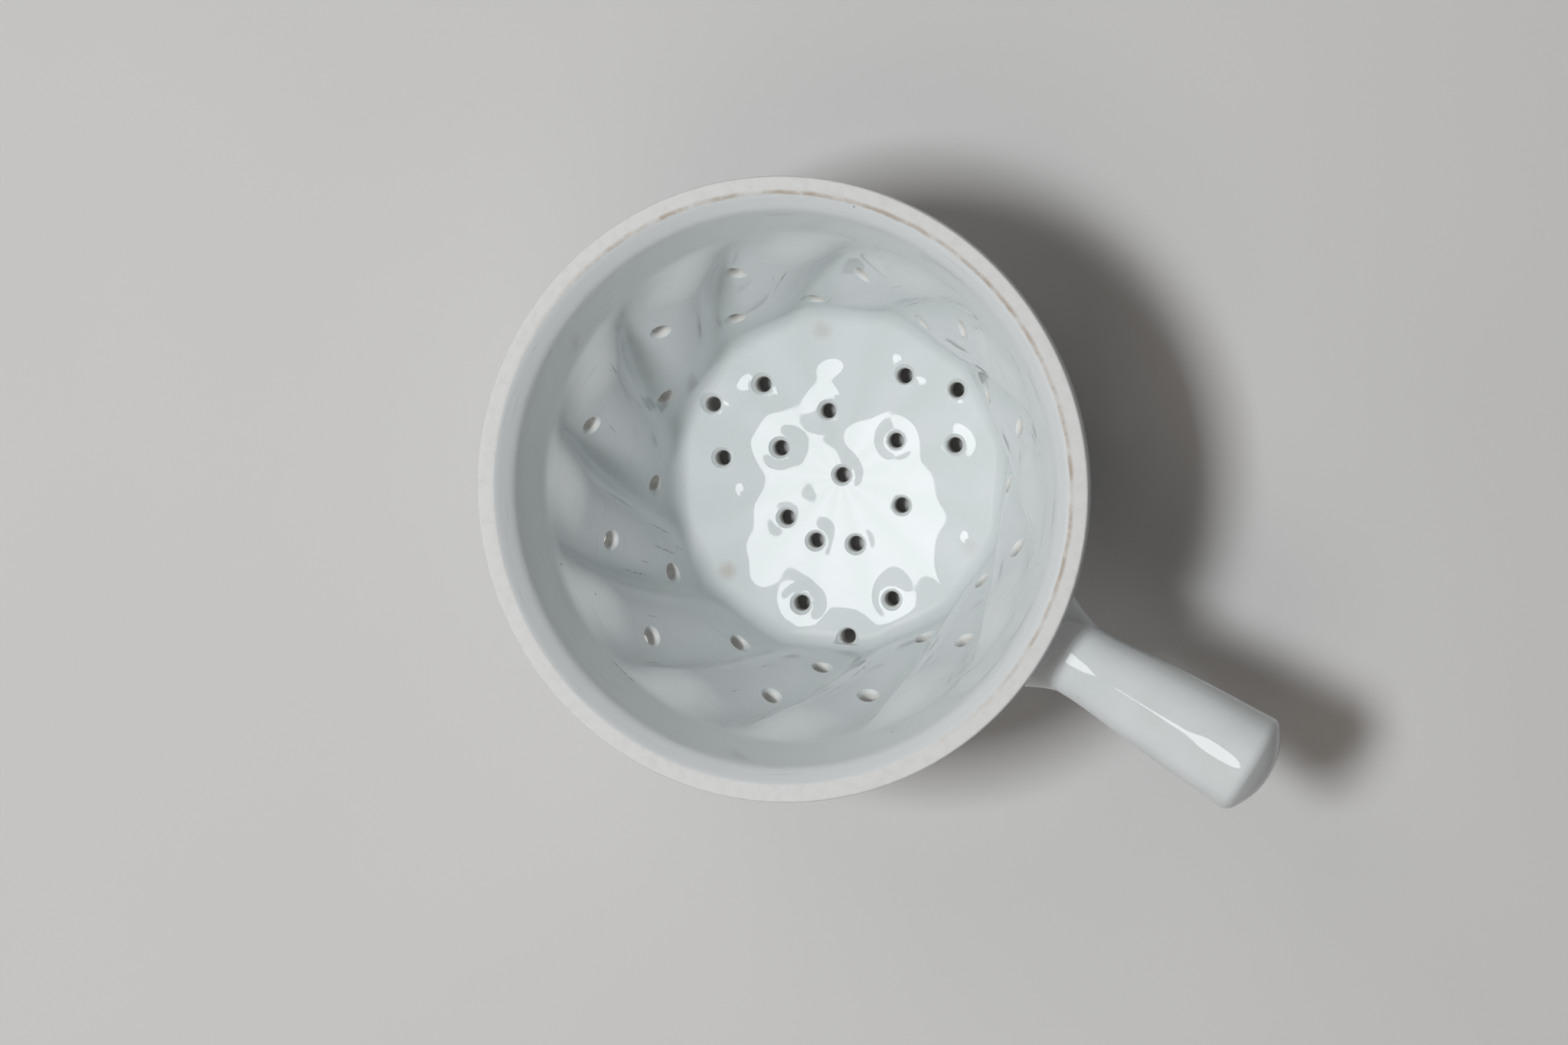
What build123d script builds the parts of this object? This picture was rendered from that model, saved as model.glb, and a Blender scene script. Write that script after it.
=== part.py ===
from build123d import *
import os
from math import cos, hypot, log, pi, radians, sin, sqrt

# A porcelain berry colander: cast bowl with twisted ribs, punched drain holes, stub handle and three feet.
# Millimetres. +Z is the bowl's axis, +X runs along the handle, and the feet stand on Z = 0.

# Rim and plain band
RIM_DIAMETER = 170.0
RIM_HEIGHT = 6.0            # height of the thick rim on the outside
RIM_EDGE = 1.6              # rounding of the rim's outer edges
LIP_WIDTH = 4.6             # flat top of the rim, left bare of glaze
LIP_ROUND = 3.6             # width of the rounded edge inside it
LIP_DROP = 4.0              # height of that rounded edge
LIP_OVERCUT = 0.02          # the mouth is cut open from this much above the rim
BAND_DEPTH = 19.0           # from the rim down to where the ribs start
BAND_INSET = 15.2           # from the rim's outside in to the band's foot, level

# Body
INSIDE_DEPTH = 79.0         # to the edge of the floor
BODY_TAPER = 19.5           # how far the wall comes in from the band's foot to the floor, level
FLOOR_CORNER = 5.0
FLOOR_SAG = 2.6             # dip of the floor at its middle, from the kiln
FLOOR_THICKNESS = 7.0       # at the edge
BASE_CORNER = 6.2
WALL = 5.6                  # measured level

# Twisted ribs
RIBS = 12
RIB_HEIGHT = 5.8
RIB_TWIST = 30.0            # degrees, from the band down to the floor
RIB_CREST_ANGLE = 11.4      # degrees from a valley to the crest after it
RIB_VALLEY = 0.2            # softness of the valleys, as a share of the height
RIB_POINTS = 10             # points of the section curve in each rib

# Drain holes, punched by hand: each wall hole strays by (degrees around, millimetres down)
HOLE_DIAMETER = 5.0
HOLE_SLOPE = 27.0           # degrees below level, square to the wall
HOLE_LEAN = 22.0            # degrees sideways, square to the rib's flank
UPPER_HOLE_DEPTH = 37.5
UPPER_HOLE_ANGLE = 16.4     # degrees from the handle
UPPER_STRAY = ((-1.6, -2), (-0.7, -2), (-1.8, -2), (-0.7, 2), (3.2, 1), (-0.9, 2),
               (-0.8, -4), (0, 3), (-1.7, -2), (3.5, 4), (0.5, 1), (0.4, 0))
LOWER_HOLE_DEPTH = 65.0
LOWER_HOLE_ANGLE = 30.8
LOWER_STRAY = ((-0.9, 1), (-2.3, -1), (-2.5, -2), (4.5, 4), (-0.7, -2), (3.7, 0),
               (1.5, 3), (0.1, -1), (0.7, -2), (-1.8, -3), (1.5, 1), (-2.1, -2))
RING_RADIUS = 20.0          # holes round the middle of the floor
RING_ANGLES = (7, 64, 131, 185, 247, 279, 314)
GROUP_INSET = 14.5          # from the wall in to the groups of three between the feet
GROUP_TIP = 7.9             # the middle hole of a group lies this much further out
GROUP_SPREAD = 20.5         # degrees to each side
GROUP_PLACES = ((67, 0), (181, 0), (304, 3))    # degrees around, millimetres outward

# Feet and the dents that pressing them on left in the floor
FEET = 3
FOOT_HEIGHT = 4.0
FOOT_DIAMETER = 10.0
FOOT_EDGE = 1.5
FOOT_INSET = 7.9            # from the inside of the wall to the foot's axis
FOOT_ANGLE = 7.0            # degrees from the handle
DENT_DIAMETER = 4.0
DENT_DEPTH = 0.8

# Handle
HANDLE_LENGTH = 78.3        # from the wall to the end
HANDLE_DEPTH = 26.0         # from the rim down to the handle's axis
HANDLE_WALL = 4.5
NECK_LENGTH = 22.3          # from the wall to where the neck is thinnest
NECK_WIDTH = 21.0
GRIP_WIDTH = 28.8
GRIP_THICKNESS = 25.9       # the whole handle is flattened alike
GRIP_DOME = 5.4             # how far the end bulges
GRIP_EDGE = 2.5
VENT_DIAMETER = 6.0
VENT_FROM_END = 10.7
VENT_TURN = 25.0            # degrees below level, on the +Y side

# Slip collar round the handle's root
COLLAR_WIDTH = 44.0         # at its root, inside the wall's outer face
COLLAR_LENGTH = 18.3        # from the wall to where it runs out on the neck
COLLAR_EDGE = 0.6           # thickness where it runs out
COLLAR_TILT = 22.0          # degrees, the root leans with the wall

RIM_RADIUS = RIM_DIAMETER / 2
BAND_RADIUS = RIM_RADIUS - BAND_INSET
FLOOR_RADIUS = BAND_RADIUS - BODY_TAPER
BASE_Z = FOOT_HEIGHT
FLOOR_Z = BASE_Z + FLOOR_THICKNESS
RIM_Z = FLOOR_Z + INSIDE_DEPTH
HANDLE_Z = RIM_Z - HANDLE_DEPTH
PITCH = 360 / RIBS
RIB_START = PITCH / 2       # a valley lies to each side of the handle
RIB_SKEW = log(0.5) / log(RIB_CREST_ANGLE / PITCH)
OVAL = GRIP_THICKNESS / GRIP_WIDTH
BASE_DEPTH = INSIDE_DEPTH + FLOOR_THICKNESS


def ease(value, start, end):
    """A smooth step from 0 at start to 1 at end."""
    t = min(max((value - start) / (end - start), 0.0), 1.0)
    return t * t * (3 - 2 * t)


def rib_wave(place):
    """Height of a rib across its width: 0 in both valleys, 1 on the crest."""
    sharp = sin(pi * place ** RIB_SKEW) ** 1.25
    return (hypot(sharp, RIB_VALLEY) - RIB_VALLEY) / (hypot(1, RIB_VALLEY) - RIB_VALLEY)


def run(depth):
    """How far down the ribs a depth lies: 0 at the band and 1 at the floor."""
    return (depth - BAND_DEPTH) / (INSIDE_DEPTH - BAND_DEPTH)


def rib_height(depth):
    """Ribs swell out at once below the band and fade towards the floor."""
    s = run(depth)
    t = min(max((s + 0.03) / 0.21, 0.0), 1.0)
    start = 0.4 * ease(t, 0, 1) + 0.6 * (1 - (1 - t) ** 2)
    return RIB_HEIGHT * start * (1 - 0.8 * ease(s, 0.18, 1.08))


def turn(depth):
    """Twist of the ribs at a depth, in degrees."""
    return RIB_TWIST * max(run(depth), 0.0)


def valley_radius(depth):
    """Inside radius of the body in the valleys, without the rounded lip and floor corner."""
    s = run(depth)
    if s <= 0:
        band_top = RIM_RADIUS - LIP_WIDTH - LIP_ROUND
        return BAND_RADIUS - s * (band_top - BAND_RADIUS) * (INSIDE_DEPTH - BAND_DEPTH) / BAND_DEPTH
    s = min(s, 1.0)
    return BAND_RADIUS + (FLOOR_RADIUS - BAND_RADIUS) * (s - 0.04 * sin(2 * pi * s))


def rounding(t):
    """A quarter circle's drop, from 0 at t = 0 to 1 at t = 1."""
    return 1 - sqrt(max(1 - t * t, 0.0))


def inside_radius(depth, angle):
    """Inside radius of the ribbed wall at a depth and an angle in degrees."""
    place = (angle - RIB_START - turn(depth)) / PITCH % 1.0
    return valley_radius(depth) - rib_height(depth) * rib_wave(place)


def cap(edge, height):
    """A ball whose top, at Z = 0, rises by the height over a circle with the edge as its radius."""
    radius = (edge ** 2 + height ** 2) / (2 * height)
    return Pos(0, 0, -radius) * Sphere(radius)


def section(depth, radius):
    """The ribbed outline at a depth, as a face, with the given radius in its valleys."""
    points = []
    count = RIBS * RIB_POINTS
    for i in range(count):
        angle = radians(RIB_START + turn(depth) + i * PITCH / RIB_POINTS)
        r = radius - rib_height(depth) * rib_wave(i % RIB_POINTS / RIB_POINTS)
        points.append((r * cos(angle), r * sin(angle)))
    outline = Edge.make_spline(points, periodic=True, parameters=[i / count for i in range(count + 1)])
    return Plane.XY.offset(RIM_Z - depth) * make_face(outline)


def rib_depths(last):
    """Depths of the section curves from the band's foot down to a last depth."""
    steps = (-0.03, 0.04, 0.1, 0.18, 0.28, 0.4, 0.54, 0.68, 0.82)
    depths = [BAND_DEPTH + s * (INSIDE_DEPTH - BAND_DEPTH) for s in steps]
    return [depth for depth in depths if depth < last - FLOOR_CORNER / 2]


def make_inside():
    """The space inside the bowl, from its lip down to the edge of the floor."""
    faces = [section(-LIP_OVERCUT, RIM_RADIUS - LIP_WIDTH)]
    for t in (0.88, 0.6, 0.3, 0.0):
        depth = LIP_DROP * (1 - t)
        faces.append(section(depth, valley_radius(depth) + LIP_ROUND * rounding(t)))
    faces.append(section(BAND_DEPTH / 2, valley_radius(BAND_DEPTH / 2)))
    corner = INSIDE_DEPTH - FLOOR_CORNER
    for depth in rib_depths(corner):
        faces.append(section(depth, valley_radius(depth)))
    for t in (0.0, 0.5, 0.8, 0.95, 1.0):
        depth = corner + t * FLOOR_CORNER
        faces.append(section(depth, valley_radius(depth) - FLOOR_CORNER * rounding(t)))
    return loft(faces)


def make_dish():
    """The shallow dish that the floor sags into inside its edge."""
    edge = FLOOR_RADIUS - FLOOR_CORNER - 2 * rib_height(INSIDE_DEPTH)
    ball = Pos(0, 0, FLOOR_Z - FLOOR_SAG) * Rot(180, 0, 0) * cap(edge, FLOOR_SAG)
    return ball & Pos(0, 0, FLOOR_Z) * Cylinder(edge, 2.2 * FLOOR_SAG)


def make_outside():
    """The bowl's outside as a solid block: the ribbed body and the thick rim."""
    corner = BASE_DEPTH - BASE_CORNER
    faces = [section(depth, valley_radius(depth) + WALL) for depth in (RIM_HEIGHT / 2, BAND_DEPTH / 2)]
    for depth in rib_depths(corner):
        faces.append(section(depth, valley_radius(depth) + WALL))
    for t in (0.0, 0.5, 0.8, 0.95, 1.0):
        depth = corner + t * BASE_CORNER
        faces.append(section(depth, valley_radius(depth) + WALL - BASE_CORNER * rounding(t)))
    body = loft(faces)
    rim = Pos(0, 0, RIM_Z - RIM_HEIGHT / 2) * Cylinder(RIM_RADIUS, RIM_HEIGHT)
    rim = fillet(rim.edges().filter_by(GeomType.CIRCLE), RIM_EDGE)
    return body + rim


def wall_punches():
    """Punches for the two rings of wall holes, each square to the flank that it goes through."""
    punches = []
    upper = (UPPER_HOLE_DEPTH, UPPER_HOLE_ANGLE, UPPER_STRAY)
    lower = (LOWER_HOLE_DEPTH, LOWER_HOLE_ANGLE, LOWER_STRAY)
    for ring_depth, ring_angle, strays in (upper, lower):
        for i in range(RIBS):
            stray_angle, stray_depth = strays[i % len(strays)]
            depth = ring_depth + stray_depth
            angle = ring_angle + i * PITCH + stray_angle
            r = inside_radius(depth, angle)
            heading = radians(angle - HOLE_LEAN)
            level = cos(radians(HOLE_SLOPE))
            axis = (level * cos(heading), level * sin(heading), -sin(radians(HOLE_SLOPE)))
            start = (r * cos(radians(angle)), r * sin(radians(angle)), RIM_Z - depth)
            punches.append(Plane(start, z_dir=axis) * Cylinder(HOLE_DIAMETER / 2, 4 * WALL))
    return punches


def floor_punches():
    """Punches for the floor holes: one in the middle, a ring, and groups of three."""
    places = [(0, 0)]
    places += [(RING_RADIUS, angle) for angle in RING_ANGLES]
    for angle, outward in GROUP_PLACES:
        side = FLOOR_RADIUS - GROUP_INSET + outward
        places += [(side, angle - GROUP_SPREAD), (side + GROUP_TIP, angle), (side, angle + GROUP_SPREAD)]
    punch = Pos(0, 0, FLOOR_Z - FLOOR_THICKNESS / 2) * Cylinder(HOLE_DIAMETER / 2, 3 * FLOOR_THICKNESS)
    return [Rot(0, 0, angle) * Pos(r, 0, 0) * punch for r, angle in places]


def foot_places():
    """Places of the feet, as rotations and moves from the bowl's axis."""
    circle = FLOOR_RADIUS - FOOT_INSET
    return [Rot(0, 0, FOOT_ANGLE + i * 360 / FEET) * Pos(circle, 0, 0) for i in range(FEET)]


def make_bowl(outside):
    """The cast shell with its holes and dents."""
    bowl = outside - make_inside() - make_dish()
    bowl -= wall_punches() + floor_punches()
    dent = Pos(0, 0, FLOOR_Z - DENT_DEPTH) * Rot(180, 0, 0) * cap(DENT_DIAMETER / 2, DENT_DEPTH)
    return bowl - [place * dent for place in foot_places()]


def root_x():
    """Outside of the wall at the handle's height, in the valleys, from the bowl's axis."""
    return valley_radius(HANDLE_DEPTH) + WALL


def handle_body(inset):
    """The handle's turned and flattened form about the X axis, inset from its outside, root in the bowl."""
    root = root_x() - NECK_WIDTH
    waist_end = root_x() + NECK_LENGTH
    neck = NECK_WIDTH / 2 - inset
    grip = GRIP_WIDTH / 2 - inset
    end = root_x() + HANDLE_LENGTH - inset
    shoulder = end - GRIP_DOME
    waist = Line((root, neck), (waist_end, neck))
    flare = Spline((waist_end, neck), (shoulder, grip), tangents=((1, 0.06), (1, 0.065)))
    dome_radius = (grip ** 2 + GRIP_DOME ** 2) / (2 * GRIP_DOME)
    dome = RadiusArc((shoulder, grip), (end, 0), dome_radius)
    axis = Polyline((end, 0), (root, 0), (root, neck))
    profile = make_face([waist, flare, dome, axis])
    edge = [v for v in profile.vertices() if abs(v.X - shoulder) < 1e-6]
    profile = fillet(edge, GRIP_EDGE)
    return scale(revolve(profile, Axis.X), (1, 1, OVAL))


def collar_body():
    """The trumpet of slip along the X axis, as a solid that leans over to the wall at its root."""
    thin = NECK_WIDTH / 2 + COLLAR_EDGE
    faces = []
    for t in (0, 0.3, 0.55, 0.8, 1):
        radius = thin + (COLLAR_WIDTH / 2 - thin) * t ** 1.5
        x = root_x() + COLLAR_LENGTH - t * (COLLAR_LENGTH + WALL)
        plane = Plane((x, 0, 0), x_dir=(0, 1, 0), z_dir=(1, 0, 0))
        faces.append(plane.rotated((-COLLAR_TILT * t, 0, 0)) * Ellipse(radius, radius * OVAL))
    return loft(faces)


def make_handle(outside):
    """The hollow handle, cut to the bowl's outside, and the slip collar round its root."""
    place = Pos(0, 0, HANDLE_Z)
    solid = place * handle_body(0)
    hollow = place * handle_body(HANDLE_WALL)
    vent_x = root_x() + HANDLE_LENGTH - VENT_FROM_END
    vent = Pos(vent_x, 0, HANDLE_Z) * Rot(-90 - VENT_TURN, 0, 0)
    vent = vent * Pos(0, 0, GRIP_WIDTH / 2) * Cylinder(VENT_DIAMETER / 2, GRIP_WIDTH)
    handle = solid - hollow - vent - outside
    collar = place * collar_body() - solid - outside
    return handle, collar


def make_foot():
    """One pad with a softened lower edge, standing on Z = 0."""
    pad = Pos(0, 0, FOOT_HEIGHT / 2) * Cylinder(FOOT_DIAMETER / 2, FOOT_HEIGHT)
    return fillet(pad.edges().group_by(Axis.Z)[0], FOOT_EDGE)


outside = make_outside()
handle, collar = make_handle(outside)
nodes = {"bowl": make_bowl(outside), "handle": handle, "slip_collar": collar}
for i, place in enumerate(foot_places()):
    nodes[f"foot_{i + 1}"] = place * make_foot()

os.makedirs("parts", exist_ok=True)
for name, piece in nodes.items():
    export_step(piece, f"parts/{name}.step")
    print(f"{name}: {len(piece.solids())} solid, {piece.volume / 1000:.1f} cm3")
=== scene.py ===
"""A porcelain berry colander: a cast bowl with twisted ribs and drain holes, a stub handle and pad feet."""

from __future__ import annotations

import logging
from dataclasses import dataclass, field
from enum import Enum
from math import atan2, cos, exp, hypot, log, pi, radians, sin, sqrt
from typing import Any, Callable, Iterable, Sequence, Union

import bpy
from mathutils import Matrix, Vector, kdtree, noise

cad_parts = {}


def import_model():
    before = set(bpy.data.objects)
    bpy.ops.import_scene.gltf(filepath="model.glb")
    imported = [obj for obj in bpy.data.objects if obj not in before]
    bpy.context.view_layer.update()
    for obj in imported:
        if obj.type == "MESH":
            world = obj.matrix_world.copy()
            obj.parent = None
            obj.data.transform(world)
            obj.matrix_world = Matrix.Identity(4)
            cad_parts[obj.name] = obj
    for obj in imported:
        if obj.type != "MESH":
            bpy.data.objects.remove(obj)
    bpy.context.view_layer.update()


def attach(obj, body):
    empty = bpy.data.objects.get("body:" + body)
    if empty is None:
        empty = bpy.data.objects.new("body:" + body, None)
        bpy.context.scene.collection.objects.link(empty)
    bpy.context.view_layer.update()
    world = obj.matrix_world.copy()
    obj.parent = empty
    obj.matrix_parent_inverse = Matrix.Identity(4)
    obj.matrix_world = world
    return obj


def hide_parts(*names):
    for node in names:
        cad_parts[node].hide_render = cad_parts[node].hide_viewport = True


LOG = logging.getLogger("colander")
MM = 0.001
MERGE = 0.002
SHARP = 42.0
Point2 = tuple[float, float]
Point3 = tuple[float, float, float]


class Axis(Enum):
    """Axes that a profile can be turned about."""

    ALONG_HANDLE = (1.0, 0.0, 0.0)
    UPRIGHT = (0.0, 0.0, 1.0)


class Side(Enum):
    """Sides of the cast wall."""

    INSIDE = "inside"
    OUTSIDE = "outside"


def ease(value: float, start: float, end: float) -> float:
    """Give a smooth step from 0 at start to 1 at end."""
    t = min(max((value - start) / (end - start), 0.0), 1.0)
    return t * t * (3 - 2 * t)


def rounding(t: float) -> float:
    """Give a quarter circle's drop, from 0 at t = 0 to 1 at t = 1."""
    return 1 - sqrt(max(1 - t * t, 0.0))


def bearing(x: float, y: float) -> float:
    """Give the angle of a place from the first axis, in degrees."""
    return atan2(y, x) * 180 / pi


def steps(start: float, end: float, size: float) -> list[float]:
    """Divide a stretch into even steps of about a size, and give both ends and what lies between."""
    count = max(1, round(abs(end - start) / size))
    return [start + (end - start) * i / count for i in range(count + 1)]


def arc(radius: float, first: float, last: float, size: float) -> list[Point2]:
    """Draw a rounded edge between two angles in degrees, as (how far in, how far along) from angle 0."""
    return [(radius * (1 - cos(radians(a))), radius * sin(radians(a))) for a in steps(first, last, size)]


def pick(pieces: Sequence[bpy.types.Object]) -> None:
    """Select some objects alone and make the first of them active.

    Args:
        pieces: The objects.
    """
    bpy.ops.object.select_all(action="DESELECT")
    for piece in pieces:
        piece.select_set(True)
    bpy.context.view_layer.objects.active = pieces[0]


def turned(name: str, profile: Sequence[Point2], columns: int, axis: Axis = Axis.UPRIGHT) -> bpy.types.Object:
    """Draw a profile by extruding one point, and turn it about an axis through the origin.

    Args:
        name: Name of the new object.
        profile: Points as (radius, place along the axis), in millimetres.
        columns: Number of steps around.
        axis: The axis that the profile is turned about.

    Returns:
        The turned object, merged, with its faces outward.
    """
    out = Vector((0, 1, 0)) if axis is Axis.ALONG_HANDLE else Vector((1, 0, 0))
    points = [(out * radius + Vector(axis.value) * place) * MM for radius, place in profile]
    bpy.ops.object.select_all(action="DESELECT")
    bpy.ops.mesh.primitive_plane_add(size=MM)
    piece = bpy.context.object
    piece.name = piece.data.name = name
    bpy.ops.object.mode_set(mode="EDIT")
    bpy.ops.mesh.select_all(action="SELECT")
    bpy.ops.mesh.merge(type="CENTER")
    bpy.ops.transform.translate(value=points[0])
    for before, after in zip(points, points[1:]):
        bpy.ops.mesh.extrude_vertices_move(TRANSFORM_OT_translate={"value": after - before})
    bpy.ops.mesh.select_all(action="SELECT")
    bpy.ops.mesh.spin(steps=columns, angle=2 * pi, center=(0, 0, 0), axis=axis.value)
    bpy.ops.mesh.select_all(action="SELECT")
    bpy.ops.mesh.remove_doubles(threshold=MM * MERGE)
    bpy.ops.mesh.normals_make_consistent(inside=False)
    bpy.ops.object.mode_set(mode="OBJECT")
    return piece


def reshape(piece: bpy.types.Object, move: Callable[[Vector], Vector]) -> None:
    """Press a mesh into shape, point by point.

    Args:
        piece: The object to press.
        move: Gives a point's new place from its old one, both in millimetres.
    """
    for vertex in piece.data.vertices:
        vertex.co = move(vertex.co / MM) * MM
    piece.data.update()


def copied(piece: bpy.types.Object, name: str) -> bpy.types.Object:
    """Copy an object with a mesh of its own.

    Args:
        piece: The object to copy.
        name: Name of the copy.

    Returns:
        The copy.
    """
    copy = piece.copy()
    copy.data = piece.data.copy()
    copy.name = copy.data.name = name
    bpy.context.collection.objects.link(copy)
    return copy


def cut(piece: bpy.types.Object, tool: bpy.types.Object) -> None:
    """Take a tool's form out of a piece.

    Args:
        piece: The object that is cut.
        tool: The object that cuts, and is then deleted.
    """
    modifier = piece.modifiers.new("cut", "BOOLEAN")
    modifier.operation = "DIFFERENCE"
    modifier.solver = "EXACT"
    modifier.object = tool
    pick([piece])
    bpy.ops.object.modifier_apply(modifier=modifier.name)
    bpy.data.objects.remove(tool)


def smoothed(piece: bpy.types.Object, angle: float = SHARP) -> None:
    """Shade a piece smooth, except over edges sharper than an angle in degrees."""
    pick([piece])
    bpy.ops.object.shade_smooth_by_angle(angle=radians(angle))


def settle(piece: bpy.types.Object, finish: bpy.types.Material, node: str) -> None:
    """Dress a finished piece and put it in the frame in place of its CAD node.

    Args:
        piece: The finished object.
        finish: Its material.
        node: Name of the CAD node that it stands for.
    """
    piece.data.materials.clear()
    piece.data.materials.append(finish)
    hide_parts(node)
    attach(piece, "root")
    LOG.info("%s: %d faces", piece.name, len(piece.data.polygons))


@dataclass(frozen=True)
class RibbedForm:
    """Sizes and curves of the cast bowl, in millimetres and degrees, or in shares of a rib."""

    rim_radius: float = 85.0
    rim_height: float = 6.0
    rim_edge: float = 0.6
    rim_row: float = 0.75
    side_row: float = 0.9
    edge_step: float = 15.0
    lip_width: float = 4.6
    lip_round: float = 3.1
    lip_drop: float = 5.05
    lip_bend: float = 0.475
    lip_lean: float = 1.148
    lip_curl: float = 0.125
    lip_curl_start: float = 0.78
    lip_rows: tuple[float, ...] = (0.1, 0.2, 0.3, 0.42, 0.54, 0.66, 0.77, 0.84, 0.9, 0.95, 0.985, 1.0)
    band_depth: float = 19.0
    band_radius: float = 69.8
    band_row: float = 1.2
    inside_depth: float = 79.0
    inside_row: float = 1.25
    wall_belly: float = 0.04
    floor_radius: float = 50.3
    floor_corner: float = 5.0
    floor_sag: float = 3.0
    floor_thickness: float = 7.0
    floor_row: float = 1.0
    corner_rows: tuple[float, ...] = (0.97, 0.92, 0.85, 0.75, 0.62, 0.48, 0.32, 0.16)
    nook_width: float = 1.44
    nook_height: float = 1.26
    nook_bevel: float = 0.315
    base_corner: float = 6.2
    base_rows: tuple[float, ...] = (0.2, 0.4, 0.57, 0.72, 0.84, 0.93, 0.98, 1.0)
    base_row: float = 3.0
    base_z: float = 4.0
    wall: float = 5.6
    ribs: int = 12
    rib_height: float = 5.8
    rib_twist: float = 30.0
    rib_start: float = -0.03
    rib_full: float = 0.18
    rib_end: float = 1.08
    rib_burst: float = 0.6
    rib_fade: float = 0.8
    rib_crest: float = 11.4
    rib_valley: float = 0.2
    rib_power: float = 1.25
    rib_soft: float = 2.0
    soft_shifts: tuple[float, ...] = (-1.0, -0.5, 0.0, 0.5, 1.0)
    feet: int = 3
    foot_circle: float = 42.4
    foot_angle: float = 7.0

    @property
    def floor_z(self) -> float:
        """Give the height of the floor's edge."""
        return self.base_z + self.floor_thickness

    @property
    def rim_z(self) -> float:
        """Give the height of the rim's top."""
        return self.floor_z + self.inside_depth

    @property
    def pitch(self) -> float:
        """Give the angle of one rib."""
        return 360.0 / self.ribs

    def foot_turn(self, number: int) -> float:
        """Give the angle of a foot round the bowl's axis."""
        return self.foot_angle + 360.0 * number / self.feet

    def run(self, depth: float) -> float:
        """Give how far down the ribs a depth lies: 0 at the band and 1 at the floor."""
        return (depth - self.band_depth) / (self.inside_depth - self.band_depth)

    def swell(self, depth: float) -> float:
        """Give the height of the ribs, which swell at once below the band and fade to the floor.

        Args:
            depth: Depth below the rim.

        Returns:
            The height in millimetres.
        """
        s = self.run(depth)
        t = min(max((s - self.rib_start) / (self.rib_full - self.rib_start), 0.0), 1.0)
        start = (1 - self.rib_burst) * ease(t, 0.0, 1.0) + self.rib_burst * (1 - (1 - t) ** 2)
        return self.rib_height * start * (1 - self.rib_fade * ease(s, self.rib_full, self.rib_end))

    def turn(self, depth: float) -> float:
        """Give the twist of the ribs at a depth."""
        return self.rib_twist * max(self.run(depth), 0.0)

    def sharp_wave(self, angle: float) -> float:
        """Give a rib's share of its height across its width, as it was carved.

        Args:
            angle: Angle before the twist.

        Returns:
            The share, from 0 in a valley to 1 on the crest.
        """
        place = (angle / self.pitch - 0.5) % 1.0
        skew = log(0.5) / log(self.rib_crest / self.pitch)
        sharp = max(sin(pi * place ** skew), 0.0) ** self.rib_power
        valley = self.rib_valley
        return (hypot(sharp, valley) - valley) / (hypot(1.0, valley) - valley)

    def wave(self, angle: float) -> float:
        """Give a rib's share of its height across its width, softened by the glaze."""
        around = [self.sharp_wave(angle + shift * self.rib_soft) for shift in self.soft_shifts]
        return sum(around) / len(around)

    def valley_radius(self, depth: float) -> float:
        """Give the inside radius in the valleys, without the rounded lip and floor corner.

        Args:
            depth: Depth below the rim.

        Returns:
            The radius in millimetres.
        """
        s = self.run(depth)
        if s <= 0:
            top = self.rim_radius - self.lip_width - self.lip_round
            return self.band_radius + (top - self.band_radius) * (1 - depth / self.band_depth)
        s = min(s, 1.0)
        share = s - self.wall_belly * sin(2 * pi * s)
        return self.band_radius + (self.floor_radius - self.band_radius) * share

    def radius(self, depth: float, angle: float, side: Side) -> float:
        """Give the radius of one side of the ribbed wall, at a depth and at an angle with the twist in it."""
        valley = self.valley_radius(depth) + (self.wall if side is Side.OUTSIDE else 0.0)
        return valley - self.swell(depth) * self.wave(angle - self.turn(depth))

    def floor_start(self) -> Point2:
        """Give the radius and height where the sagging floor runs into its rounded corner."""
        lean = atan2(2 * self.floor_sag, self.floor_radius - self.floor_corner)
        return (self.floor_radius - self.floor_corner * (1 - sin(lean)),
                self.floor_z + self.floor_corner * (1 - cos(lean)))

    def floor_height(self, radius: float) -> float:
        """Give the height of the sagging floor at a radius."""
        edge, height = self.floor_start()
        return height - self.floor_sag * (1 - (radius / edge) ** 2)

    def inside_profile(self) -> list[Point2]:
        """Draw the inside, from the middle of the floor to the top of the rim.

        Returns:
            Points as (radius, height).
        """
        points = [(r, self.floor_height(r)) for r in steps(0.0, self.floor_start()[0], self.floor_row)]
        corner = self.inside_depth - self.floor_corner
        for t in self.corner_rows:
            depth = corner + t * self.floor_corner
            points.append((self.valley_radius(depth) - self.floor_corner * rounding(t), self.rim_z - depth))
        depths = steps(corner, self.band_depth, self.inside_row)
        depths += steps(self.band_depth, self.lip_drop, self.band_row)[1:]
        points += [(self.valley_radius(depth), self.rim_z - depth) for depth in depths]
        for t in self.lip_rows:
            depth = self.lip_drop * (1 - t)
            slope = t * t / (2 * self.lip_bend) if t < self.lip_bend else t - self.lip_bend / 2
            curl = rounding(max(t - self.lip_curl_start, 0.0) / (1 - self.lip_curl_start))
            width = self.lip_lean * slope + self.lip_curl * curl
            points.append((self.valley_radius(depth) + self.lip_round * width, self.rim_z - depth))
        return points

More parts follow.
